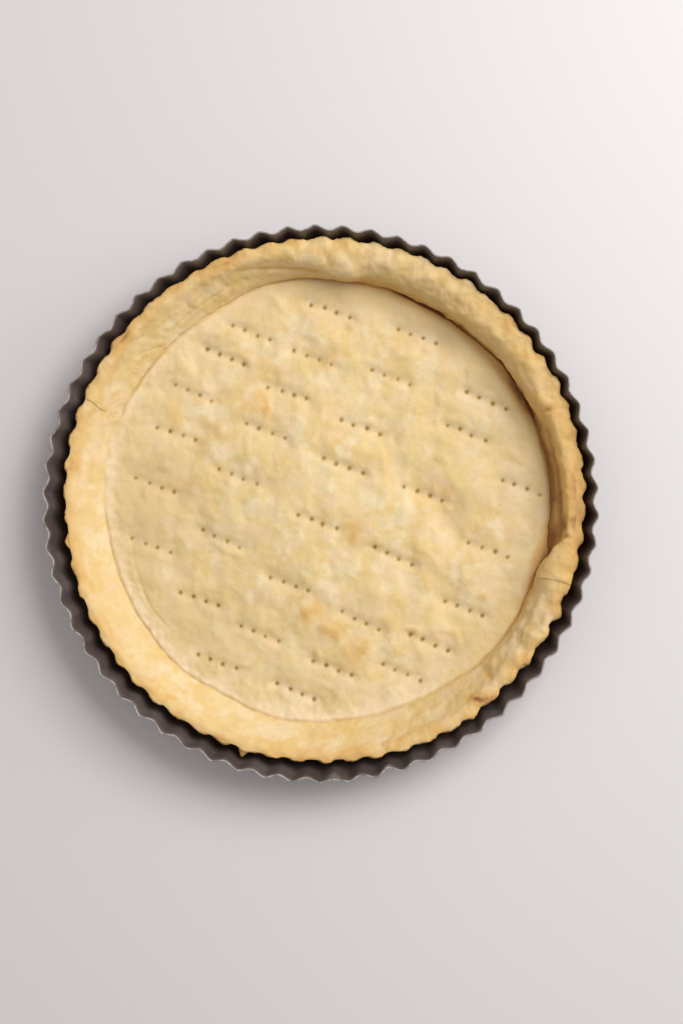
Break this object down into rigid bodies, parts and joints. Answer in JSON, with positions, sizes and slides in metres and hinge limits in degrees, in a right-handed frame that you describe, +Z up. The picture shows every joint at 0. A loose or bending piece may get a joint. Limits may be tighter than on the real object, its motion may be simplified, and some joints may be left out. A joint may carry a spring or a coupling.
{
  "type": "tart pan",
  "caption": "Round fluted tart pan with a loose lift-out base, holding a blind-baked pastry shell with a docked floor and upstanding scalloped sides.",
  "frame": {"origin": "centre of the pan's underside, on the table", "axes": "+Z up out of the pan, +X and +Y in the plane of the rim; the pastry's two lapped seams lie at 341 and 157 degrees from +X"},
  "size_m": [0.2518, 0.252, 0.028],
  "materials": {
    "ring_coating": "dark brown-grey non-stick coating on pressed steel, worn pale on the cut rim",
    "base_coating": "the same dark non-stick coating",
    "floor_pastry": "matt, pale golden baked shortcrust, docked with a fork",
    "side_pastry": "matt baked shortcrust, browner along the top edge"
  },
  "bodies": {
    "ring": {"fluted_ring": "ring_coating"},
    "base": {"loose_base": "base_coating"},
    "pastry": {"pastry_floor": "floor_pastry", "pastry_band_back": "side_pastry", "pastry_band_front": "side_pastry"}
  },
  "joints": [
    {"name": "base_lift", "type": "slide", "parent": "ring", "child": "base", "axis": [0, 0, 1], "range_m": [0, 0.045]},
    {"name": "pastry_lift", "type": "slide", "parent": "base", "child": "pastry", "axis": [0, 0, 1], "range_m": [0, 0.04]}
  ]
}
